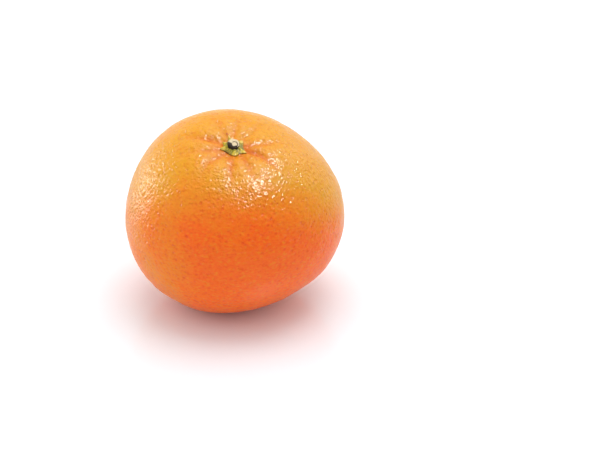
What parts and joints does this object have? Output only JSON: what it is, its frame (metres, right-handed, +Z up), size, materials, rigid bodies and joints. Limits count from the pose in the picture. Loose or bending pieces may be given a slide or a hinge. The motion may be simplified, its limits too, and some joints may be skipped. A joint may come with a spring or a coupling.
{
  "type": "mandarin",
  "caption": "Whole mandarin, a low rounded citrus fruit with a dimpled stem end, a star-shaped calyx and a short cut stem stub, resting on a small flat spot.",
  "frame": {"origin": "centre of the small flat spot that the fruit rests on", "axes": "+Z up, away from the surface that the fruit rests on; -Y towards the front, the way the stem end leans; +X towards the right seen from the front"},
  "size_m": [0.0648, 0.0628, 0.0564],
  "materials": {
    "peel": "satin",
    "calyx": "matte",
    "stem": "matte"
  },
  "bodies": {
    "root": {"fruit": "peel", "calyx": "calyx", "stem_stub": "stem"}
  },
  "joints": []
}
